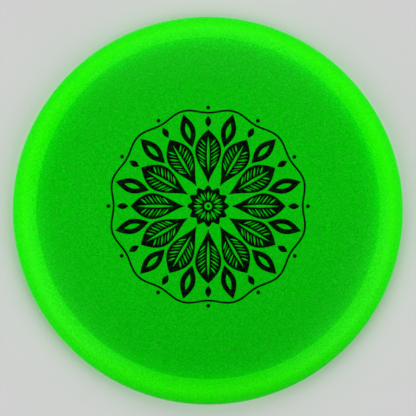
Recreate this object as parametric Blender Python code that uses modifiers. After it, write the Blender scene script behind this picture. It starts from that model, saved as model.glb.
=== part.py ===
"""Flying disc for golf: a thin flight plate, a rim moulded round its edge, and a foil rosette on the top.

The disc lies on its rim, top side up, with its axis on Z. The origin is on that axis, in the plane
that the rim rests on. The plate and the rim are turned shapes that hook into each other. Each island
of the foil is a flat piece of its own.
"""

import math

import bpy

# Overall sizes, in metres
DISC_DIAMETER = 0.217
RIM_WIDTH = 0.0138
RIM_DEPTH = 0.0135
NOSE_HEIGHT = 0.0066
CLEARANCE = 0.0003

# Flight plate
PLATE_THICKNESS = 0.0019
EDGE_THICKNESS = 0.0028
DOME_RISE = 0.0026
DOME_WIDTH = 0.031
GATE_RADIUS = 0.0045
GATE_HEIGHT = 0.0004

# Hook at the plate's edge, which the rim is moulded round
TONGUE_LENGTH = 0.0030
BEAD_WIDTH = 0.0012
BEAD_DROP = 0.0016

# Rim section below the plate
REST_WIDTH = 0.0034
BOTTOM_ROUND = 0.0010
WALL_DRAFT = 0.0005
INNER_FILLET = 0.0020
LEDGE_THICKNESS = 0.0005

# Foil rosette, built outwards from the axis
FOIL_THICKNESS = 0.0001
FOIL_SPACING = 0.0012
FOIL_LINE = 0.0011
PETAL_COUNT = 12
EYE_RADIUS = 0.0009
SEED_LENGTH = 0.0050
SEED_WIDTH = 0.0014
FLOWER_LOBE = 0.0022
PETAL_LENGTH = 0.0300
VEIN_WIDTH = 0.0015
VEIN_FROM_BASE = 0.0060
VEIN_FROM_TIP = 0.0036
SIDE_VEIN_PAIRS = 4
SIDE_VEIN_WIDTH = 0.0009
SIDE_VEIN_LEAN = 0.0034
SIDE_VEIN_FROM_BASE = 0.0090
SIDE_VEIN_FROM_TIP = 0.0056
TIP_LENGTH = 0.0064
TIP_WIDTH = 0.0034
DART_WIDTH = 0.0082
DART_REACH = 0.0090
DART_EYE_LENGTH = 0.0090
DART_EYE_WIDTH = 0.0026
WAVE_HEIGHT = 0.0026
DOT_RADIUS = 0.0011

# Facets and shape factors
TURN_STEPS = 64
CURVE_STEPS = 7
ARC_STEPS = 4
LEAF_STEPS = 8
LENS_STEPS = 4
SLIT_STEPS = 2
RING_POINTS_PER_PETAL = 6
DOT_POINTS = 8
SHOULDER_FULLNESS = 0.45
NOSE_FULLNESS = 0.38
UNDERSIDE_FULLNESS = 0.36
SHARP_ANGLE = math.radians(30)

# Colours are linear: a bright glowing rim, a deeper green plate and black foil
RIM_GREEN = (0.019, 0.87, 0.006)
PLATE_GREEN = (0.004, 0.48, 0.004)
FOIL_BLACK = (0.004, 0.005, 0.004)

# Places that follow from the sizes
OUTER_RADIUS = DISC_DIAMETER / 2
SEAM_RADIUS = OUTER_RADIUS - RIM_WIDTH
FLAT_RADIUS = SEAM_RADIUS - DOME_WIDTH
PLATE_TOP = RIM_DEPTH + EDGE_THICKNESS + DOME_RISE
FOIL_LEVEL = PLATE_TOP + CLEARANCE + FOIL_THICKNESS / 2


def clear_scene():
    for thing in list(bpy.data.objects):
        bpy.data.objects.remove(thing, do_unlink=True)


def make_material(name, colour, roughness, glow=0.0):
    material = bpy.data.materials.new(name)
    material.use_nodes = True
    shader = material.node_tree.nodes["Principled BSDF"]
    shader.inputs["Base Color"].default_value = (*colour, 1)
    shader.inputs["Roughness"].default_value = roughness
    shader.inputs["Metallic"].default_value = 0.0
    shader.inputs["Emission Color"].default_value = (*colour, 1)
    shader.inputs["Emission Strength"].default_value = glow
    material.diffuse_color = (*colour, 1)
    return material


# Turned sections, as (radius, height) points


def dome_share(radius):
    """How far across the sloping band a radius lies: 0 on the flat field, 1 at the seam."""
    return max(0.0, radius - FLAT_RADIUS) / DOME_WIDTH


def plate_top(radius):
    return PLATE_TOP - DOME_RISE * dome_share(radius) ** 2


def plate_underside(radius):
    growth = EDGE_THICKNESS - PLATE_THICKNESS
    return plate_top(radius) - PLATE_THICKNESS - growth * dome_share(radius) ** 2


def bezier(start, start_handle, end_handle, end):
    """Points on a cubic curve, both ends included."""
    points = []
    for step in range(CURVE_STEPS + 1):
        t = step / CURVE_STEPS
        weights = ((1 - t) ** 3, 3 * t * (1 - t) ** 2, 3 * t * t * (1 - t), t**3)
        corners = (start, start_handle, end_handle, end)
        points.append(tuple(sum(w * p[i] for w, p in zip(weights, corners)) for i in (0, 1)))
    return points


def arc(centre, radius, from_degrees, to_degrees):
    points = []
    for step in range(ARC_STEPS + 1):
        angle = math.radians(from_degrees + (to_degrees - from_degrees) * step / ARC_STEPS)
        points.append((centre[0] + radius * math.cos(angle), centre[1] + radius * math.sin(angle)))
    return points


def height_on(points, radius):
    """Height at a radius along points that run outwards."""
    for (r0, z0), (r1, z1) in zip(points, points[1:]):
        if r0 <= radius <= r1:
            return z0 + (z1 - z0) * (radius - r0) / (r1 - r0)
    return points[-1][1]


def wing_top():
    """Upper side of the rim, from the seam over the shoulder to the nose."""
    start = (SEAM_RADIUS + CLEARANCE, plate_top(SEAM_RADIUS + CLEARANCE))
    nose = (OUTER_RADIUS, NOSE_HEIGHT)
    slope_at_seam = -2 * DOME_RISE / DOME_WIDTH
    reach = SHOULDER_FULLNESS * (nose[0] - start[0])
    shoulder_handle = (start[0] + reach, start[1] + reach * slope_at_seam)
    nose_handle = (nose[0], nose[1] + NOSE_FULLNESS * (start[1] - nose[1]))
    return bezier(start, shoulder_handle, nose_handle, nose)


def wing_underside(rest_outer):
    """Lower side of the rim, from the nose in to the flat band that it rests on."""
    nose = (OUTER_RADIUS, NOSE_HEIGHT)
    nose_handle = (nose[0], NOSE_HEIGHT * (1 - UNDERSIDE_FULLNESS))
    rest_handle = (rest_outer + UNDERSIDE_FULLNESS * (nose[0] - rest_outer), 0.0)
    return bezier(nose, nose_handle, rest_handle, (rest_outer, 0.0))


def hook_places():
    """Radii and heights of the plate's hook. Its tongue is as thick as the rim's lip over it."""
    tip = SEAM_RADIUS + TONGUE_LENGTH
    under = plate_underside(SEAM_RADIUS)
    lip_top = height_on(wing_top(), tip + CLEARANCE)
    return {
        "tip": tip,
        "bead_inner": tip - BEAD_WIDTH,
        "top": under + (lip_top - under - CLEARANCE) / 2,
        "under": under,
        "bead_under": under - BEAD_DROP,
    }


def plate_section():
    hook = hook_places()
    band = [FLAT_RADIUS + DOME_WIDTH * step / CURVE_STEPS for step in range(CURVE_STEPS + 1)]
    gate_under = plate_underside(0) - GATE_HEIGHT
    section = [(0.0, PLATE_TOP)]
    section += [(radius, plate_top(radius)) for radius in band]
    section += [
        (SEAM_RADIUS, hook["top"]),
        (hook["tip"], hook["top"]),
        (hook["tip"], hook["bead_under"]),
        (hook["bead_inner"], hook["bead_under"]),
        (hook["bead_inner"], hook["under"]),
    ]
    section += [(radius, plate_underside(radius)) for radius in reversed(band)]
    section += [
        (GATE_RADIUS + GATE_HEIGHT, plate_underside(0)),
        (GATE_RADIUS, gate_under),
        (0.0, gate_under),
    ]
    return section


def rim_section():
    hook = hook_places()
    rest_inner = SEAM_RADIUS + WALL_DRAFT + BOTTOM_ROUND
    ledge_tip = SEAM_RADIUS - INNER_FILLET
    ledge_top = plate_underside(ledge_tip) - CLEARANCE
    fillet_centre = (ledge_tip, ledge_top - LEDGE_THICKNESS - INNER_FILLET)
    groove_outer = hook["tip"] + CLEARANCE
    groove_inner = hook["bead_inner"] - CLEARANCE
    groove_floor = hook["bead_under"] - CLEARANCE
    groove_roof = hook["top"] + CLEARANCE
    section = wing_top()
    section += wing_underside(rest_inner + REST_WIDTH)[1:]
    section += arc((rest_inner, BOTTOM_ROUND), BOTTOM_ROUND, 270, 180)
    section += arc(fillet_centre, INNER_FILLET, 0, 90)
    section += [
        (ledge_tip, ledge_top),
        (SEAM_RADIUS, hook["under"] - CLEARANCE),
        (groove_inner, hook["under"] - CLEARANCE),
        (groove_inner, groove_floor),
        (groove_outer, groove_floor),
        (groove_outer, groove_roof),
        (SEAM_RADIUS + CLEARANCE, groove_roof),
    ]
    return section


def add_turned(name, section, closed, material, collection):
    """One turn of a section round the Z axis, with smooth faces and sharp corners."""
    count = len(section)
    edges = [(i, i + 1) for i in range(count - 1)]
    if closed:
        edges.append((count - 1, 0))
    outline = bpy.data.meshes.new(name + "_section")
    outline.from_pydata([(radius, 0.0, height) for radius, height in section], edges, [])
    lathe = bpy.data.objects.new(name + "_section", outline)
    bpy.context.scene.collection.objects.link(lathe)
    screw = lathe.modifiers.new("Turn", "SCREW")
    screw.steps = TURN_STEPS
    screw.render_steps = TURN_STEPS
    screw.use_merge_vertices = True
    screw.merge_threshold = 0.00001
    graph = bpy.context.evaluated_depsgraph_get()
    mesh = bpy.data.meshes.new_from_object(lathe.evaluated_get(graph))
    mesh.name = name
    bpy.data.objects.remove(lathe, do_unlink=True)
    mesh.shade_smooth()
    mesh.set_sharp_from_angle(angle=SHARP_ANGLE)
    mesh.materials.append(material)
    collection.objects.link(bpy.data.objects.new(name, mesh))


# Foil outlines, as (x, y) points that run anticlockwise in the plane of the plate


def polar(radius, angle):
    return (radius * math.cos(angle), radius * math.sin(angle))


def petal_angles(offset=0.0):
    return [2 * math.pi * (i + offset) / PETAL_COUNT for i in range(PETAL_COUNT)]


def circle(radius, count):
    return [polar(radius, 2 * math.pi * i / count) for i in range(count)]


def waved_circle(radius, swing):
    """A round outline with this radius at each petal, which swings out by this much between them."""
    count = PETAL_COUNT * RING_POINTS_PER_PETAL
    points = []
    for i in range(count):
        angle = 2 * math.pi * i / count
        points.append(polar(radius + swing * (1 - math.cos(PETAL_COUNT * angle)) / 2, angle))
    return points


def lens(start, end, width, steps):
    """An outline pointed at both ends and widest half way between them."""
    length = math.dist(start, end)
    along = ((end[0] - start[0]) / length, (end[1] - start[1]) / length)
    points = []
    for step in range(2 * steps):
        turn = step / steps
        reach = length * (1 - abs(1 - turn))
        side = -width / 2 * math.sin(math.pi * turn)
        x = start[0] + along[0] * reach - along[1] * side
        y = start[1] + along[1] * reach + along[0] * side
        points.append((x, y))
    return points


def petal_half_width(radius, base):
    """Half the width of a petal on the X axis, which leaves one spacing to its neighbours."""
    half_angle = math.pi / PETAL_COUNT
    room = radius * math.tan(half_angle) - FOIL_SPACING / 2 / math.cos(half_angle)
    return room * math.sin(math.pi * (radius - base) / PETAL_LENGTH)


def petal_outline(base):
    radii = [base + PETAL_LENGTH * step / LEAF_STEPS for step in range(LEAF_STEPS + 1)]
    lower = [(radius, -petal_half_width(radius, base)) for radius in radii]
    upper = [(x, -y) for x, y in reversed(lower[1:-1])]
    return lower + upper


def petal_veins(base):
    """Bare slits in a petal: one along its middle, and pairs that lean out to its edges."""
    tip = base + PETAL_LENGTH
    veins = [lens((base + VEIN_FROM_BASE, 0), (tip - VEIN_FROM_TIP, 0), VEIN_WIDTH, LENS_STEPS)]
    first = base + SIDE_VEIN_FROM_BASE
    last = tip - SIDE_VEIN_FROM_TIP - SIDE_VEIN_LEAN
    side_start = (VEIN_WIDTH + FOIL_LINE) / 2
    for pair in range(SIDE_VEIN_PAIRS):
        start = first + (last - first) * pair / (SIDE_VEIN_PAIRS - 1)
        end = start + SIDE_VEIN_LEAN
        side_end = petal_half_width(end, base) - FOIL_LINE
        for side in (1, -1):
            ends = ((start, side * side_start), (end, side * side_end))
            veins.append(lens(*ends, SIDE_VEIN_WIDTH, SLIT_STEPS))
    return veins


def foil_curve(name, edge, holes, material):
    """A flat piece of foil with an outer edge and holes, which run the other way round."""
    curve = bpy.data.curves.new(name, "CURVE")
    curve.dimensions = "2D"
    curve.fill_mode = "BOTH"
    curve.extrude = FOIL_THICKNESS / 2
    for outline in [edge] + [hole[::-1] for hole in holes]:
        spline = curve.splines.new("POLY")
        spline.points.add(len(outline) - 1)
        spline.use_cyclic_u = True
        for point, (x, y) in zip(spline.points, outline):
            point.co = (x, y, 0.0, 1.0)
    curve.materials.append(material)
    return curve


def add_foil(name, curve, collection, angle=0.0):
    piece = bpy.data.objects.new(name, curve)
    piece.location.z = FOIL_LEVEL
    piece.rotation_euler.z = angle
    collection.objects.link(piece)


def add_foil_ring(curve, angles, collection):
    """One copy of a piece of foil at each angle, numbered round the disc."""
    for number, angle in enumerate(angles, start=1):
        add_foil(f"{curve.name}_{number:02d}", curve, collection, angle)


def add_flower(material, collection):
    """The eye, and the lobed flower round it with its ring of seeds. Returns its outer radius."""
    eye = foil_curve("foil_eye", circle(EYE_RADIUS, DOT_POINTS), [], material)
    add_foil("foil_eye", eye, collection)
    eye_hole = EYE_RADIUS + FOIL_SPACING
    seed_inner = eye_hole + FOIL_LINE
    seed_outer = seed_inner + SEED_LENGTH
    seeds = [
        lens(polar(seed_inner, angle), polar(seed_outer, angle), SEED_WIDTH, SLIT_STEPS)
        for angle in petal_angles()
    ]
    outer = seed_outer + FOIL_LINE + FLOWER_LOBE
    holes = [circle(eye_hole, 2 * DOT_POINTS)] + seeds
    flower = foil_curve("foil_flower", waved_circle(outer, -FLOWER_LOBE), holes, material)
    add_foil("foil_flower", flower, collection)
    return outer


def add_rosette(material, collection):
    """Rings of foil round the axis. Each starts one spacing outside the ring before."""
    petal_base = add_flower(material, collection) + FOIL_SPACING
    petal_tip = petal_base + PETAL_LENGTH
    petal = foil_curve("foil_petal", petal_outline(petal_base), petal_veins(petal_base), material)
    add_foil_ring(petal, petal_angles(), collection)

    tip_inner = petal_tip + FOIL_SPACING
    tip_outer = tip_inner + TIP_LENGTH
    tip_edge = lens((tip_inner, 0), (tip_outer, 0), TIP_WIDTH, LENS_STEPS)
    add_foil_ring(foil_curve("foil_tip", tip_edge, [], material), petal_angles(), collection)

    wave_inner = tip_outer + FOIL_SPACING
    wave_outer = wave_inner + FOIL_LINE
    dart_inner = petal_tip - DART_REACH
    dart_outer = wave_inner + WAVE_HEIGHT - FOIL_SPACING
    dart_middle = (dart_inner + dart_outer) / 2
    eye_inner = dart_middle - DART_EYE_LENGTH / 2
    eye_outer = dart_middle + DART_EYE_LENGTH / 2
    dart_edge = lens((dart_inner, 0), (dart_outer, 0), DART_WIDTH, LEAF_STEPS)
    dart_eye = lens((eye_inner, 0), (eye_outer, 0), DART_EYE_WIDTH, LENS_STEPS)
    dart = foil_curve("foil_dart", dart_edge, [dart_eye], material)
    add_foil_ring(dart, petal_angles(0.5), collection)

    wave_edge = waved_circle(wave_outer, WAVE_HEIGHT)
    wave_hole = waved_circle(wave_inner, WAVE_HEIGHT)
    add_foil("foil_wave", foil_curve("foil_wave", wave_edge, [wave_hole], material), collection)

    dot_place = wave_outer + FOIL_SPACING + DOT_RADIUS
    dot_edge = [(dot_place + x, y) for x, y in circle(DOT_RADIUS, DOT_POINTS)]
    add_foil_ring(foil_curve("foil_dot", dot_edge, [], material), petal_angles(), collection)


def main():
    clear_scene()
    collection = bpy.data.collections.new("flying_disc")
    bpy.context.scene.collection.children.link(collection)
    rim_plastic = make_material("rim_plastic", RIM_GREEN, roughness=0.35, glow=0.5)
    plate_plastic = make_material("plate_plastic", PLATE_GREEN, roughness=0.40, glow=0.5)
    foil_film = make_material("foil_film", FOIL_BLACK, roughness=0.45)
    add_turned("flight_plate", plate_section(), False, plate_plastic, collection)
    add_turned("rim", rim_section(), True, rim_plastic, collection)
    add_rosette(foil_film, collection)


main()
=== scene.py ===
"""Looks of the flying disc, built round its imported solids.

The plate and the rim are turned again from fine sections, and their seam is closed to a hairline.
Each island of foil is cut again with smooth edges and finer slits, and lies flat on the plate.
"""

import math

import bmesh
import bpy
from mathutils import Matrix, Vector


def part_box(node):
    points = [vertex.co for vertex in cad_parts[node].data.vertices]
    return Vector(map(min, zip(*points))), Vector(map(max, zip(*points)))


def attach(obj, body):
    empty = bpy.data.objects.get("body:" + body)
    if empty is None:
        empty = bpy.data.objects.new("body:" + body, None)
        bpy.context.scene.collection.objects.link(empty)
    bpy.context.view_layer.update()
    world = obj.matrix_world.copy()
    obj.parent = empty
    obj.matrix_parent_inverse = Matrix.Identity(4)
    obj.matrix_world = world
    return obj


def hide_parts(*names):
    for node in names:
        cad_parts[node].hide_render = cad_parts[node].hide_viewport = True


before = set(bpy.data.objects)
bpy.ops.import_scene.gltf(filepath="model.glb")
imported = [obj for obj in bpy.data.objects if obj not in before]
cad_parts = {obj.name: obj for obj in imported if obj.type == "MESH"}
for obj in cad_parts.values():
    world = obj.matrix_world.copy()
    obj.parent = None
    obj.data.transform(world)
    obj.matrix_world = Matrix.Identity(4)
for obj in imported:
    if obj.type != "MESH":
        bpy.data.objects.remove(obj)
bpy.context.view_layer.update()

# Sizes read from the frame, in metres
OUTER_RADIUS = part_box("rim")[1].x
HOOK_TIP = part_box("flight_plate")[1].x
PLATE_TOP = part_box("flight_plate")[1].z

# Section of plate and rim, as the solids have it
RIM_WIDTH = 0.0138
NOSE_HEIGHT = 0.0066
PLATE_THICKNESS = 0.0019
EDGE_THICKNESS = 0.0028
DOME_RISE = 0.0026
DOME_WIDTH = 0.031
GATE_RADIUS = 0.0045
GATE_HEIGHT = 0.0004
BEAD_WIDTH = 0.0012
BEAD_DROP = 0.0016
REST_WIDTH = 0.0034
BOTTOM_ROUND = 0.0010
WALL_DRAFT = 0.0005
INNER_FILLET = 0.0020
LEDGE_THICKNESS = 0.0005
SHOULDER_FULLNESS = 0.45
NOSE_FULLNESS = 0.38
UNDERSIDE_FULLNESS = 0.36

# What the fine sections add
HAIRLINE = 0.00005
EDGE_ROUND = 0.00012
PARTING_PROUD = 0.00010
PARTING_HEIGHT = 0.00060
PARTING_FLAT = 0.00020
PIT_RADIUS = 0.0016
PIT_DEPTH = 0.0002

# Foil rosette, built outwards from the axis
FOIL_THICKNESS = 0.0001
FOIL_SUNK = 0.00002
FOIL_SPACING = 0.0012
FOIL_LINE = 0.0011
PETAL_COUNT = 12
EYE_RADIUS = 0.0009
SEED_LENGTH = 0.0050
SEED_WIDTH = 0.0014
FLOWER_LOBE = 0.0022
PETAL_LENGTH = 0.0300
VEIN_WIDTH = 0.0015
VEIN_FROM_BASE = 0.0060
VEIN_FROM_TIP = 0.0036
SIDE_VEIN_PAIRS = 4
SIDE_VEIN_WIDTH = 0.0009
SIDE_VEIN_LEAN = 0.0034
SIDE_VEIN_FROM_BASE = 0.0090
SIDE_VEIN_FROM_TIP = 0.0056
TIP_LENGTH = 0.0064
TIP_WIDTH = 0.0034
DART_WIDTH = 0.0082
DART_REACH = 0.0090
DART_EYE_LENGTH = 0.0090
DART_EYE_WIDTH = 0.0026
WAVE_HEIGHT = 0.0026
DOT_RADIUS = 0.0011
HAIR_SLIT = 0.0004

# Fineness and rounding of the meshes
TURN_STEPS = 192
CURVE_STEPS = 28
ARC_STEPS = 8
ROUND_STEPS = 3
ROUND_SHARE = 0.4
ROUND_FULLNESS = 0.6
LEAF_STEPS = 28
SLIT_STEPS = 12
RING_POINTS_PER_PETAL = 30
DOT_POINTS = 32
SHARP_ANGLE = math.radians(35)
WELD_DISTANCE = 0.000002

# Linear colours: the thick rim shines more than the thin plate, and most along its crown
PARTING_COLOUR = (0.002, 0.66, 0.000)
NOSE_COLOUR = (0.002, 0.83, 0.000)
CROWN_COLOUR = (0.014, 0.955, 0.000)
RIM_SEAM_COLOUR = (0.002, 0.80, 0.000)
PLATE_SEAM_COLOUR = (0.000, 0.735, 0.000)
PLATE_COLOUR = (0.000, 0.485, 0.000)
RIM_SPECK = (0.036, 0.0, 0.008)
PLATE_SPECK = (0.014, 0.0, 0.017)
FOIL_BLACK = (0.001, 0.001, 0.001)
CROWN_DEPTH = 0.0066

# How much of a colour the plastic sends out by itself and how much it reflects
GLOW_STRENGTH = 0.51
BODY_SHARE = 0.62

# The glow is darker towards one side of the disc, and painted shade darkens faces that look that way:
# where each fades, and how far
DIM_AZIMUTH = math.radians(190)
DIM_SPAN = (-0.16, 0.02)
DIM_SIDE = 0.60
SHADE_FACING = (-0.85, -0.50)
DIM_FACE = 0.65

# Light spills from the rim into the plate, most on one side, and the gate mark shines a little too
SPILL_AZIMUTH = math.radians(145)
SPILL_LENGTH = 0.0045
DIM_SPILL = 0.6
GATE_SHARE = 0.4

# Patterns of the surfaces: repeats a metre, and how far they swing
NOISE_DETAIL = 4.0
NOISE_ROUGHNESS = 0.7
NOISE_RANGE = (0.3, 0.7)
PIGMENT_SCALE = 1300
RIM_PIGMENT = 0.20
PLATE_PIGMENT = 0.28
SPECK_SCALE = 800
SPECK_RANGE = (0.5, 0.7)
CLOUD_SCALE = 70
CLOUD_SWING = 0.02
PEEL_SCALE = 420
PEEL_DEPTH = 0.00006
TOOL_MARK_PITCH = 0.0011
TOOL_MARK_SHARE = 0.15
DOWN_FACING = (-0.90, -0.98)
PINHOLE_SCALE = 2100
PINHOLE_RANGE = (0.68, 0.74)
WORN_PATCH_SCALE = 90
WORN_PATCH_RANGE = (0.45, 0.65)
DRAG_SCALE = 600
DRAG_DEPTH = 0.00003
THIN_RANGE = (0.43, 0.70)
THIN_SHARE = 0.03

# Sheen and relief of the surfaces
SHEEN_LEVEL = 0.05
PLASTIC_ROUGHNESS = (0.22, 0.30)
FOIL_ROUGHNESS = (0.20, 0.34)
BUMP_STRENGTH = 0.35

# Stage
FLOOR_SIZE = 8.0
FLOOR_DROP = 0.0001
FLOOR_SCALE = 3
FLOOR_TONE = (0.78, 0.81)
FLOOR_ROUGHNESS = 0.9
SKY_SPAN = (0.15, 0.6)
HORIZON_LEVEL = 0.35
CEILING_LEVEL = 0.08
LAMP_SIZE = 1.5
LAMP_DISTANCE = 1.5
LAMP_ELEVATION = math.radians(45)
LAMP_POWER = 8.8
LAMP_AZIMUTHS = {
    "key": math.radians(180),
    "fill_left": math.radians(-65),
    "fill_right": math.radians(65),
}

# The photograph's view
IMAGE_PIXELS = 416
DISC_RADIUS_PIXELS = 195.1
AIM_POINT = (0.0000, 0.0004, NOSE_HEIGHT)
SENSOR_WIDTH = 36.0
CAMERA_DISTANCE = 1.2
CAMERA_AZIMUTH = math.radians(-5)
CAMERA_ELEVATION = math.radians(83.5)

# Places that follow from the sizes
SEAM_RADIUS = OUTER_RADIUS - RIM_WIDTH
FLAT_RADIUS = SEAM_RADIUS - DOME_WIDTH


def direction(azimuth, elevation):
    """Unit vector from the disc, with azimuth 0 on the -Y side."""
    flat = math.cos(elevation)
    return Vector((math.sin(azimuth) * flat, -math.cos(azimuth) * flat, math.sin(elevation)))


# Turned sections, as (radius, height) points


def dome_share(radius):
    """How far across the sloping band a radius lies: 0 on the flat field, 1 at the seam."""
    return max(0.0, radius - FLAT_RADIUS) / DOME_WIDTH


def plate_top(radius):
    return PLATE_TOP - DOME_RISE * dome_share(radius) ** 2


def plate_underside(radius):
    growth = EDGE_THICKNESS - PLATE_THICKNESS
    return plate_top(radius) - PLATE_THICKNESS - growth * dome_share(radius) ** 2


def bezier(start, start_handle, end_handle, end, steps):
    """Points on a cubic curve, both ends included."""
    points = []
    for step in range(steps + 1):
        t = step / steps
        weights = ((1 - t) ** 3, 3 * t * (1 - t) ** 2, 3 * t * t * (1 - t), t**3)
        corners = (start, start_handle, end_handle, end)
        points.append(tuple(sum(w * p[i] for w, p in zip(weights, corners)) for i in (0, 1)))
    return points


def arc(centre, radius, from_degrees, to_degrees):
    points = []
    for step in range(ARC_STEPS + 1):
        angle = math.radians(from_degrees + (to_degrees - from_degrees) * step / ARC_STEPS)
        points.append((centre[0] + radius * math.cos(angle), centre[1] + radius * math.sin(angle)))
    return points


def height_on(points, radius):
    """Height at a radius along points that run outwards."""
    for (r0, z0), (r1, z1) in zip(points, points[1:]):
        if r0 <= radius <= r1:
            return z0 + (z1 - z0) * (radius - r0) / (r1 - r0)
    return points[-1][1]


def rounded(section, closed):
    """The section with each sharp corner turned into a small round."""
    last = len(section) - 1
    points = []
    for i, corner in enumerate(section):
        here = Vector(corner)
        back = Vector(section[i - 1]) - here
        ahead = Vector(section[(i + 1) % len(section)]) - here
        at_an_end = not closed and i in (0, last)
        if at_an_end or math.pi - back.angle(ahead) < SHARP_ANGLE:
            points.append(corner)
            continue
        reach = min(EDGE_ROUND, ROUND_SHARE * back.length, ROUND_SHARE * ahead.length)
        start = here + back.normalized() * reach
        end = here + ahead.normalized() * reach
        handles = [point.lerp(here, ROUND_FULLNESS) for point in (start, end)]
        points += bezier(start, *handles, end, ROUND_STEPS)
    return points


def wing_top():
    """Upper side of the rim, from the seam over the shoulder to the nose."""
    start = (SEAM_RADIUS + HAIRLINE, plate_top(SEAM_RADIUS + HAIRLINE))
    nose = (OUTER_RADIUS - PARTING_PROUD, NOSE_HEIGHT)
    reach = SHOULDER_FULLNESS * (nose[0] - start[0])
    shoulder_handle = (start[0] + reach, start[1] - reach * 2 * DOME_RISE / DOME_WIDTH)
    nose_handle = (nose[0], nose[1] + NOSE_FULLNESS * (start[1] - nose[1]))
    return bezier(start, shoulder_handle, nose_handle, nose, CURVE_STEPS)


def parting_line():
    """A fine ridge round the nose, where the two halves of the mould met."""
    inner = OUTER_RADIUS - PARTING_PROUD
    return [
        (inner, NOSE_HEIGHT + PARTING_HEIGHT / 2),
        (OUTER_RADIUS, NOSE_HEIGHT + PARTING_FLAT / 2),
        (OUTER_RADIUS, NOSE_HEIGHT - PARTING_FLAT / 2),
        (inner, NOSE_HEIGHT - PARTING_HEIGHT / 2),
    ]


def wing_underside(rest_outer):
    """Lower side of the rim, from the nose in to the flat band that it rests on."""
    nose = (OUTER_RADIUS - PARTING_PROUD, NOSE_HEIGHT)
    nose_handle = (nose[0], NOSE_HEIGHT * (1 - UNDERSIDE_FULLNESS))
    rest_handle = (rest_outer + UNDERSIDE_FULLNESS * (nose[0] - rest_outer), 0.0)
    return bezier(nose, nose_handle, rest_handle, (rest_outer, 0.0), CURVE_STEPS)


def hook_heights():
    """Heights of the plate's hook: top and underside of its tongue, and foot of its bead."""
    under = plate_underside(SEAM_RADIUS)
    lip_top = height_on(wing_top(), HOOK_TIP + HAIRLINE)
    return under + (lip_top - under) / 2, under, under - BEAD_DROP


def plate_section():
    top, under, bead_under = hook_heights()
    band = [FLAT_RADIUS + DOME_WIDTH * step / CURVE_STEPS for step in range(CURVE_STEPS + 1)]
    gate_under = plate_underside(0) - GATE_HEIGHT
    bead_inner = HOOK_TIP - BEAD_WIDTH
    section = [(0.0, PLATE_TOP)]
    section += [(radius, plate_top(radius)) for radius in band]
    section += [(SEAM_RADIUS, top), (HOOK_TIP, top), (HOOK_TIP, bead_under)]
    section += [(bead_inner, bead_under), (bead_inner, under)]
    section += [(radius, plate_underside(radius)) for radius in reversed(band)]
    section += [(GATE_RADIUS + GATE_HEIGHT, plate_underside(0)), (GATE_RADIUS, gate_under)]
    section += [(PIT_RADIUS, gate_under), (PIT_RADIUS - PIT_DEPTH, gate_under + PIT_DEPTH)]
    section += [(0.0, gate_under + PIT_DEPTH)]
    return rounded(section, closed=False)


def rim_section():
    top, under, bead_under = hook_heights()
    rest_inner = SEAM_RADIUS + WALL_DRAFT + BOTTOM_ROUND
    ledge_tip = SEAM_RADIUS - INNER_FILLET
    ledge_top = plate_underside(ledge_tip) - HAIRLINE
    fillet_centre = (ledge_tip, ledge_top - LEDGE_THICKNESS - INNER_FILLET)
    groove_outer = HOOK_TIP + HAIRLINE
    groove_inner = HOOK_TIP - BEAD_WIDTH - HAIRLINE
    groove_floor = bead_under - HAIRLINE
    groove_roof = top + HAIRLINE
    upper = wing_top()
    lower = wing_underside(rest_inner + REST_WIDTH)
    section = [point for point in upper if point[1] > NOSE_HEIGHT + PARTING_HEIGHT]
    section += parting_line()
    section += [point for point in lower if point[1] < NOSE_HEIGHT - PARTING_HEIGHT]
    section += arc((rest_inner, BOTTOM_ROUND), BOTTOM_ROUND, 270, 180)
    section += arc(fillet_centre, INNER_FILLET, 0, 90)
    section += [(ledge_tip, ledge_top), (SEAM_RADIUS, under - HAIRLINE)]
    section += [(groove_inner, under - HAIRLINE), (groove_inner, groove_floor)]
    section += [(groove_outer, groove_floor), (groove_outer, groove_roof)]
    section += [(SEAM_RADIUS + HAIRLINE, groove_roof)]
    return rounded(section, closed=True)


def finish_piece(name, mesh, material, slot, *nodes):
    """A piece of the visual model, which rides on the root and stands for these nodes."""
    mesh.name = name
    mesh.materials.clear()
    mesh.materials.append(material)
    piece = bpy.data.objects.new(name, mesh)
    bpy.context.scene.collection.objects.link(piece)
    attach(piece, "root")
    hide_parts(*nodes)


def evaluated_mesh(thing):
    """The mesh that an object's modifiers or its curve give. The object itself is removed."""
    graph = bpy.context.evaluated_depsgraph_get()
    mesh = bpy.data.meshes.new_from_object(thing.evaluated_get(graph))
    bpy.data.objects.remove(thing, do_unlink=True)
    return mesh


def turned_mesh(section, closed):
    """One turn of a section round the Z axis, with smooth faces and sharp corners."""
    count = len(section)
    edges = [(i, i + 1) for i in range(count - 1)]
    if closed:
        edges.append((count - 1, 0))
    outline = bpy.data.meshes.new("section")
    outline.from_pydata([(radius, 0.0, height) for radius, height in section], edges, [])
    lathe = bpy.data.objects.new("section", outline)
    bpy.context.scene.collection.objects.link(lathe)
    screw = lathe.modifiers.new("Turn", "SCREW")
    screw.steps = TURN_STEPS
    screw.render_steps = TURN_STEPS
    screw.use_merge_vertices = True
    screw.merge_threshold = WELD_DISTANCE
    mesh = evaluated_mesh(lathe)
    mesh.shade_smooth()
    mesh.set_sharp_from_angle(angle=SHARP_ANGLE)
    return mesh


# Foil outlines, as (x, y) points that run anticlockwise in the plane of the plate


def polar(radius, angle):
    return (radius * math.cos(angle), radius * math.sin(angle))


def petal_angles(offset=0.0):
    return [2 * math.pi * (i + offset) / PETAL_COUNT for i in range(PETAL_COUNT)]


def circle(radius, count):
    return [polar(radius, 2 * math.pi * i / count) for i in range(count)]


def waved_circle(radius, bulge):
    """A round outline with this radius at each petal, which bulges out by this much between them."""
    count = PETAL_COUNT * RING_POINTS_PER_PETAL
    points = []
    for i in range(count):
        angle = 2 * math.pi * i / count
        points.append(polar(radius + bulge * (1 - math.cos(PETAL_COUNT * angle)) / 2, angle))
    return points


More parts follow.
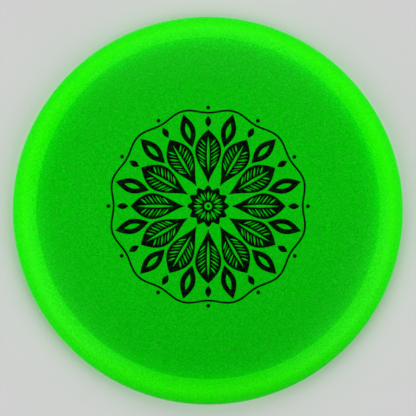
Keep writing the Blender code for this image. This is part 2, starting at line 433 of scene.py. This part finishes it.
def lens(start, end, width, steps=SLIT_STEPS):
    """An outline pointed at both ends and widest half way between them."""
    length = math.dist(start, end)
    along = ((end[0] - start[0]) / length, (end[1] - start[1]) / length)
    points = []
    for step in range(2 * steps):
        turn = step / steps
        reach = length * (1 - abs(1 - turn))
        side = -width / 2 * math.sin(math.pi * turn)
        x = start[0] + along[0] * reach - along[1] * side
        y = start[1] + along[1] * reach + along[0] * side
        points.append((x, y))
    return points


def petal_half_width(radius, base):
    """Half the width of a petal on the X axis, which leaves one spacing to its neighbours."""
    half_angle = math.pi / PETAL_COUNT
    room = radius * math.tan(half_angle) - FOIL_SPACING / 2 / math.cos(half_angle)
    return room * math.sin(math.pi * (radius - base) / PETAL_LENGTH)


def petal_outline(base):
    radii = [base + PETAL_LENGTH * step / LEAF_STEPS for step in range(LEAF_STEPS + 1)]
    lower = [(radius, -petal_half_width(radius, base)) for radius in radii]
    upper = [(x, -y) for x, y in reversed(lower[1:-1])]
    return lower + upper


def petal_veins(base):
    """Bare slits in a petal: one along its middle, pairs that lean out, and hair slits between them."""
    tip = base + PETAL_LENGTH
    veins = [lens((base + VEIN_FROM_BASE, 0), (tip - VEIN_FROM_TIP, 0), VEIN_WIDTH)]
    first = base + SIDE_VEIN_FROM_BASE
    last = tip - SIDE_VEIN_FROM_TIP - SIDE_VEIN_LEAN
    step = (last - first) / (SIDE_VEIN_PAIRS - 1)
    side_start = (VEIN_WIDTH + FOIL_LINE) / 2
    for half_pair in range(2 * SIDE_VEIN_PAIRS - 1):
        start = first + step * half_pair / 2
        end = start + SIDE_VEIN_LEAN
        side_end = petal_half_width(end, base) - FOIL_LINE
        width = HAIR_SLIT if half_pair % 2 else SIDE_VEIN_WIDTH
        for side in (1, -1):
            veins.append(lens((start, side * side_start), (end, side * side_end), width))
    return veins


def foil_mesh(edge, holes, angle=0.0):
    """A flat piece of foil on the plate, with an outer edge and holes, turned round the axis."""
    curve = bpy.data.curves.new("foil", "CURVE")
    curve.dimensions = "2D"
    curve.fill_mode = "BOTH"
    curve.extrude = (FOIL_THICKNESS + FOIL_SUNK) / 2
    for outline in [edge] + [hole[::-1] for hole in holes]:
        spline = curve.splines.new("POLY")
        spline.points.add(len(outline) - 1)
        spline.use_cyclic_u = True
        for point, (x, y) in zip(spline.points, outline):
            point.co = (x, y, 0.0, 1.0)
    sheet = bpy.data.objects.new("foil", curve)
    bpy.context.scene.collection.objects.link(sheet)
    mesh = evaluated_mesh(sheet)
    work = bmesh.new()
    work.from_mesh(mesh)
    bmesh.ops.remove_doubles(work, verts=work.verts, dist=WELD_DISTANCE)
    bmesh.ops.beautify_fill(work, faces=work.faces, edges=work.edges)
    work.to_mesh(mesh)
    work.free()
    middle = PLATE_TOP + (FOIL_THICKNESS - FOIL_SUNK) / 2
    mesh.transform(Matrix.Rotation(angle, 4, "Z") @ Matrix.Translation((0, 0, middle)))
    return mesh


def add_foil(kind, edge, holes, material):
    finish_piece("print_" + kind, foil_mesh(edge, holes), material, "foil_film", "foil_" + kind)


def add_foil_ring(kind, edge, holes, angles, material):
    """One copy of a piece of foil at each angle, numbered round the disc as the nodes are."""
    for number, angle in enumerate(angles, start=1):
        name = f"{kind}_{number:02d}"
        mesh = foil_mesh(edge, holes, angle)
        finish_piece("print_" + name, mesh, material, "foil_film", "foil_" + name)


def add_flower(material):
    """The eye, and the lobed flower round it with its ring of seeds. Returns its outer radius."""
    add_foil("eye", circle(EYE_RADIUS, DOT_POINTS), [], material)
    eye_hole = EYE_RADIUS + FOIL_SPACING
    seed_inner = eye_hole + FOIL_LINE
    seed_outer = seed_inner + SEED_LENGTH
    holes = [circle(eye_hole, DOT_POINTS)]
    for angle in petal_angles():
        holes.append(lens(polar(seed_inner, angle), polar(seed_outer, angle), SEED_WIDTH))
    for angle in petal_angles(offset=0.5):
        slit_inner = polar(seed_inner + FOIL_LINE, angle)
        holes.append(lens(slit_inner, polar(seed_outer, angle), HAIR_SLIT))
    outer = seed_outer + FOIL_LINE + FLOWER_LOBE
    add_foil("flower", waved_circle(outer, -FLOWER_LOBE), holes, material)
    return outer


def add_rosette(material):
    """Rings of foil round the axis. Each starts one spacing outside the ring before."""
    petal_base = add_flower(material) + FOIL_SPACING
    petal_tip = petal_base + PETAL_LENGTH
    petal_edge = petal_outline(petal_base)
    add_foil_ring("petal", petal_edge, petal_veins(petal_base), petal_angles(), material)

    tip_inner = petal_tip + FOIL_SPACING
    tip_outer = tip_inner + TIP_LENGTH
    tip_edge = lens((tip_inner, 0), (tip_outer, 0), TIP_WIDTH)
    add_foil_ring("tip", tip_edge, [], petal_angles(), material)

    wave_inner = tip_outer + FOIL_SPACING
    wave_outer = wave_inner + FOIL_LINE
    dart_inner = petal_tip - DART_REACH
    dart_outer = wave_inner + WAVE_HEIGHT - FOIL_SPACING
    dart_middle = (dart_inner + dart_outer) / 2
    dart_edge = lens((dart_inner, 0), (dart_outer, 0), DART_WIDTH, LEAF_STEPS)
    eye_half = DART_EYE_LENGTH / 2
    dart_eye = lens((dart_middle - eye_half, 0), (dart_middle + eye_half, 0), DART_EYE_WIDTH)
    add_foil_ring("dart", dart_edge, [dart_eye], petal_angles(offset=0.5), material)

    wave_edge = waved_circle(wave_outer, WAVE_HEIGHT)
    add_foil("wave", wave_edge, [waved_circle(wave_inner, WAVE_HEIGHT)], material)

    dot_place = wave_outer + FOIL_SPACING + DOT_RADIUS
    dot_edge = [(dot_place + x, y) for x, y in circle(DOT_RADIUS, DOT_POINTS)]
    add_foil_ring("dot", dot_edge, [], petal_angles(), material)


# Materials


def new_material(name):
    material = bpy.data.materials.new(name)
    material.use_nodes = True
    tree = material.node_tree
    return material, tree, tree.nodes["Principled BSDF"]


def add_node(tree, kind, inputs, **settings):
    """A node with these settings. Each input is a value, or a socket to link from."""
    node = tree.nodes.new("ShaderNode" + kind)
    for name, value in settings.items():
        setattr(node, name, value)
    for key, value in inputs.items():
        if isinstance(value, bpy.types.NodeSocket):
            tree.links.new(value, node.inputs[key])
        else:
            node.inputs[key].default_value = value
    return node


def maths(tree, operation, first, second=0.0):
    return add_node(tree, "Math", {0: first, 1: second}, operation=operation).outputs[0]


def noise(tree, place, scale):
    inputs = {"Vector": place, "Scale": scale, "Detail": NOISE_DETAIL, "Roughness": NOISE_ROUGHNESS}
    return add_node(tree, "TexNoise", inputs).outputs["Fac"]


def spread(tree, value, from_range, to_range, smooth=False):
    """The value moved from one range to another, and held inside it."""
    inputs = {"Value": value}
    inputs |= dict(zip(("From Min", "From Max", "To Min", "To Max"), (*from_range, *to_range)))
    kind = "SMOOTHSTEP" if smooth else "LINEAR"
    return add_node(tree, "MapRange", inputs, interpolation_type=kind).outputs["Result"]


def swing(tree, place, scale, reach):
    """Noise that swings round 1 by this reach."""
    return spread(tree, noise(tree, place, scale), NOISE_RANGE, (1 - reach, 1 + reach))


def mixed(tree, share, first, second):
    """A colour between two others. The node's colours are its inputs 6 and 7 and its output 2."""
    inputs = {0: share, 6: (*first, 1), 7: (*second, 1)}
    return add_node(tree, "Mix", inputs, data_type="RGBA").outputs[2]


def scaled(tree, colour, factor):
    inputs = {0: colour, "Scale": factor}
    return add_node(tree, "VectorMath", inputs, operation="SCALE").outputs["Vector"]


def grey(tree, level):
    return add_node(tree, "CombineColor", {0: level, 1: level, 2: level}).outputs[0]


def upward_share(tree, vector):
    return add_node(tree, "SeparateXYZ", {0: vector}).outputs["Z"]


def object_place(tree):
    return add_node(tree, "TexCoord", {}).outputs["Object"]


def object_normal(tree):
    return add_node(tree, "TexCoord", {}).outputs["Normal"]


def radius_of(tree, place):
    """How far a place lies from the disc's axis."""
    inputs = {0: place, 1: (1, 1, 0)}
    flat = add_node(tree, "VectorMath", inputs, operation="MULTIPLY").outputs["Vector"]
    return add_node(tree, "VectorMath", {0: flat}, operation="LENGTH").outputs["Value"]


def reach_towards(tree, vector, azimuth):
    """How far a place or a normal reaches towards one side of the disc."""
    inputs = {0: vector, 1: direction(azimuth, 0.0)}
    return add_node(tree, "VectorMath", inputs, operation="DOT_PRODUCT").outputs["Value"]


def rim_colour(tree, place):
    """From the parting line at the nose over the crown to the seam."""
    depth = spread(tree, radius_of(tree, place), (OUTER_RADIUS, SEAM_RADIUS), (0, 1))
    ramp = add_node(tree, "ValToRGB", {0: depth})
    stops = ramp.color_ramp.elements
    stops.new(PARTING_PROUD / RIM_WIDTH)
    stops.new(CROWN_DEPTH / RIM_WIDTH)
    for stop, colour in zip(stops, (PARTING_COLOUR, NOSE_COLOUR, CROWN_COLOUR, RIM_SEAM_COLOUR)):
        stop.color = (*colour, 1)
    return ramp.outputs["Color"]


def looking_down(tree):
    """1 on faces that look straight down, and 0 on those that lean well away from that."""
    return spread(tree, upward_share(tree, object_normal(tree)), DOWN_FACING, (0, 1))


def plate_colour(tree, place):
    """Brighter by the seam, where light spills in from the rim, and on the thicker gate mark."""
    radius = radius_of(tree, place)
    depth = maths(tree, "SUBTRACT", SEAM_RADIUS, radius)
    fade = maths(tree, "EXPONENT", maths(tree, "DIVIDE", depth, -SPILL_LENGTH))
    across = reach_towards(tree, place, SPILL_AZIMUTH)
    side = spread(tree, across, (-SEAM_RADIUS, SEAM_RADIUS), (DIM_SPILL, 1))
    spill = maths(tree, "MULTIPLY", fade, side)
    gate = spread(tree, radius, (GATE_RADIUS, GATE_RADIUS + GATE_HEIGHT), (GATE_SHARE, 0))
    gate = maths(tree, "MULTIPLY", gate, looking_down(tree))
    return mixed(tree, maths(tree, "MAXIMUM", spill, gate), PLATE_COLOUR, PLATE_SEAM_COLOUR)


def add_bump(tree, shader, height, depth):
    bump = add_node(tree, "Bump", {"Strength": BUMP_STRENGTH, "Distance": depth, "Height": height})
    tree.links.new(bump.outputs["Normal"], shader.inputs["Normal"])


def glow_shade(tree, place):
    """Dims the glow: less towards the far side of the disc, and painted shade on faces that look that
    way.
    """
    across = reach_towards(tree, place, DIM_AZIMUTH)
    facing = reach_towards(tree, object_normal(tree), DIM_AZIMUTH)
    side = spread(tree, across, DIM_SPAN, (DIM_SIDE, 1), smooth=True)
    face = spread(tree, facing, SHADE_FACING, (DIM_FACE, 1))
    return maths(tree, "MULTIPLY", side, face)


def tool_marks(tree, place):
    """Fine rings on faces that look down, as the turned half of the mould leaves them."""
    turns = maths(tree, "MULTIPLY", radius_of(tree, place), 2 * math.pi / TOOL_MARK_PITCH)
    share = maths(tree, "MULTIPLY", looking_down(tree), TOOL_MARK_SHARE)
    return maths(tree, "MULTIPLY", maths(tree, "SINE", turns), share)


def specked(tree, place, colour, speck):
    """A colour with specks that shine a little paler."""
    share = spread(tree, noise(tree, place, SPECK_SCALE), SPECK_RANGE, (0, 1))
    inputs = {0: colour, 1: mixed(tree, share, (0, 0, 0), speck)}
    return add_node(tree, "VectorMath", inputs, operation="ADD").outputs["Vector"]


def glow_plastic(name, colour_at, pigment, speck):
    """Satin plastic full of glow pigment, whose glow is darker towards one side, with painted shade on
    faces that look that way.
    """
    material, tree, shader = new_material(name)
    place = object_place(tree)
    colour = specked(tree, place, colour_at(tree, place), speck)
    grain = swing(tree, place, PIGMENT_SCALE, pigment)
    grain = maths(tree, "MULTIPLY", grain, swing(tree, place, CLOUD_SCALE, CLOUD_SWING))
    body = scaled(tree, colour, maths(tree, "MULTIPLY", grain, BODY_SHARE))
    glow = scaled(tree, colour, maths(tree, "MULTIPLY", grain, glow_shade(tree, place)))
    peel = noise(tree, place, PEEL_SCALE)
    tree.links.new(body, shader.inputs["Base Color"])
    tree.links.new(glow, shader.inputs["Emission Color"])
    tree.links.new(spread(tree, peel, NOISE_RANGE, PLASTIC_ROUGHNESS), shader.inputs["Roughness"])
    shader.inputs["Emission Strength"].default_value = GLOW_STRENGTH
    shader.inputs["Specular IOR Level"].default_value = SHEEN_LEVEL
    add_bump(tree, shader, maths(tree, "ADD", peel, tool_marks(tree, place)), PEEL_DEPTH)
    return material


def foil_film():
    """Black stamping foil. The plastic shows in its pinholes, and faintly where a drag left it thin."""
    material, tree, shader = new_material("foil_film")
    place = object_place(tree)
    holes = spread(tree, noise(tree, place, PINHOLE_SCALE), PINHOLE_RANGE, (0, 1))
    patches = spread(tree, noise(tree, place, WORN_PATCH_SCALE), WORN_PATCH_RANGE, (0, 1))
    drag = noise(tree, place, DRAG_SCALE)
    thin = spread(tree, drag, THIN_RANGE, (0, THIN_SHARE))
    bare = maths(tree, "ADD", maths(tree, "MULTIPLY", holes, patches), thin)
    tree.links.new(mixed(tree, bare, FOIL_BLACK, PLATE_COLOUR), shader.inputs["Base Color"])
    tree.links.new(mixed(tree, bare, (0, 0, 0), PLATE_COLOUR), shader.inputs["Emission Color"])
    tree.links.new(spread(tree, drag, NOISE_RANGE, FOIL_ROUGHNESS), shader.inputs["Roughness"])
    shader.inputs["Emission Strength"].default_value = GLOW_STRENGTH
    shader.inputs["Specular IOR Level"].default_value = SHEEN_LEVEL
    add_bump(tree, shader, drag, DRAG_DEPTH)
    return material


def floor_paint():
    material, tree, shader = new_material("floor_paint")
    tone = spread(tree, noise(tree, object_place(tree), FLOOR_SCALE), NOISE_RANGE, FLOOR_TONE)
    tree.links.new(grey(tree, tone), shader.inputs["Base Color"])
    shader.inputs["Roughness"].default_value = FLOOR_ROUGHNESS
    shader.inputs["Specular IOR Level"].default_value = SHEEN_LEVEL
    return material


# Stage: floor, light and camera


def add_floor():
    bpy.ops.mesh.primitive_plane_add(size=FLOOR_SIZE, location=(0, 0, -FLOOR_DROP))
    floor = bpy.context.object
    floor.name = "floor"
    floor.data.materials.append(floor_paint())


def add_lamp(name, azimuth):
    light = bpy.data.lights.new(name, "AREA")
    light.shape = "DISK"
    light.size = LAMP_SIZE
    light.energy = LAMP_POWER
    lamp = bpy.data.objects.new(name, light)
    towards = direction(azimuth, LAMP_ELEVATION)
    lamp.location = towards * LAMP_DISTANCE
    lamp.rotation_euler = towards.to_track_quat("Z", "Y").to_euler()
    bpy.context.scene.collection.objects.link(lamp)


def add_world():
    """A pale horizon under a darker ceiling, so that the top of the disc keeps its colour."""
    world = bpy.data.worlds.new("studio")
    world.use_nodes = True
    tree = world.node_tree
    up = upward_share(tree, add_node(tree, "TexCoord", {}).outputs["Generated"])
    level = spread(tree, up, SKY_SPAN, (HORIZON_LEVEL, CEILING_LEVEL), smooth=True)
    tree.links.new(grey(tree, level), tree.nodes["Background"].inputs["Color"])
    bpy.context.scene.world = world


def add_camera():
    """The photograph's view, with the +Y side of the disc at the top of the picture."""
    data = bpy.data.cameras.new("camera")
    data.sensor_width = SENSOR_WIDTH
    share = DISC_RADIUS_PIXELS / (IMAGE_PIXELS / 2)
    data.lens = share * SENSOR_WIDTH / 2 * CAMERA_DISTANCE / OUTER_RADIUS
    camera = bpy.data.objects.new("camera", data)
    bpy.context.scene.collection.objects.link(camera)
    back = direction(CAMERA_AZIMUTH, CAMERA_ELEVATION)
    right = Vector((0, 1, 0)).cross(back).normalized()
    up = back.cross(right)
    turn = Matrix((right, up, back)).transposed().to_4x4()
    camera.matrix_world = Matrix.Translation(Vector(AIM_POINT) + back * CAMERA_DISTANCE) @ turn
    bpy.context.scene.camera = camera


def add_mouldings():
    plate = turned_mesh(plate_section(), closed=False)
    plate_plastic = glow_plastic("plate_plastic", plate_colour, PLATE_PIGMENT, PLATE_SPECK)
    finish_piece("plate_moulding", plate, plate_plastic, "plate_plastic", "flight_plate")
    rim = turned_mesh(rim_section(), closed=True)
    rim_plastic = glow_plastic("rim_plastic", rim_colour, RIM_PIGMENT, RIM_SPECK)
    finish_piece("rim_moulding", rim, rim_plastic, "rim_plastic", "rim")


def main():
    add_mouldings()
    add_rosette(foil_film())
    add_floor()
    add_world()
    for name, azimuth in LAMP_AZIMUTHS.items():
        add_lamp(name, azimuth)
    add_camera()
    bpy.context.scene.view_settings.view_transform = "Standard"


main()
